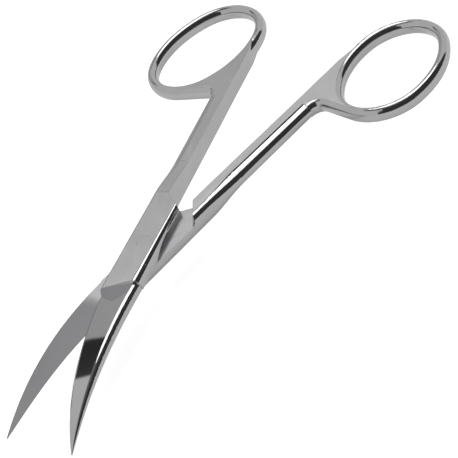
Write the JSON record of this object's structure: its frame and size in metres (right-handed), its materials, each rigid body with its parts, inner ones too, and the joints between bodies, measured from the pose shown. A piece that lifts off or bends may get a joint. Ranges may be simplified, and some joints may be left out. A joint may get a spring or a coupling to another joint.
{
  "type": "curved dissecting scissors",
  "caption": "Curved dissecting scissors with sharp points: forged steel halves with oval finger rings, crossed at a lap joint on a slotted pivot screw.",
  "frame": {"origin": "on the pivot screw's axis, at the level where the two halves lie on each other", "axes": "+Z along the pivot screw, out of the upper half; +Y towards the finger rings, along the line that halves the opening; the blades reach along -Y and curve down to -Z"},
  "size_m": [0.0874, 0.1388, 0.0138],
  "materials": {
    "upper_steel": "satin",
    "lower_steel": "satin",
    "screw_steel": "satin"
  },
  "bodies": {
    "upper": {"upper_half": "upper_steel", "pivot_screw": "screw_steel"},
    "lower": {"lower_half": "lower_steel"}
  },
  "joints": [
    {"name": "pivot", "type": "hinge", "parent": "upper", "child": "lower", "pos_m": [0, 0, 0], "axis": [0, 0, 1], "range_deg": [-100, 22.2]}
  ]
}
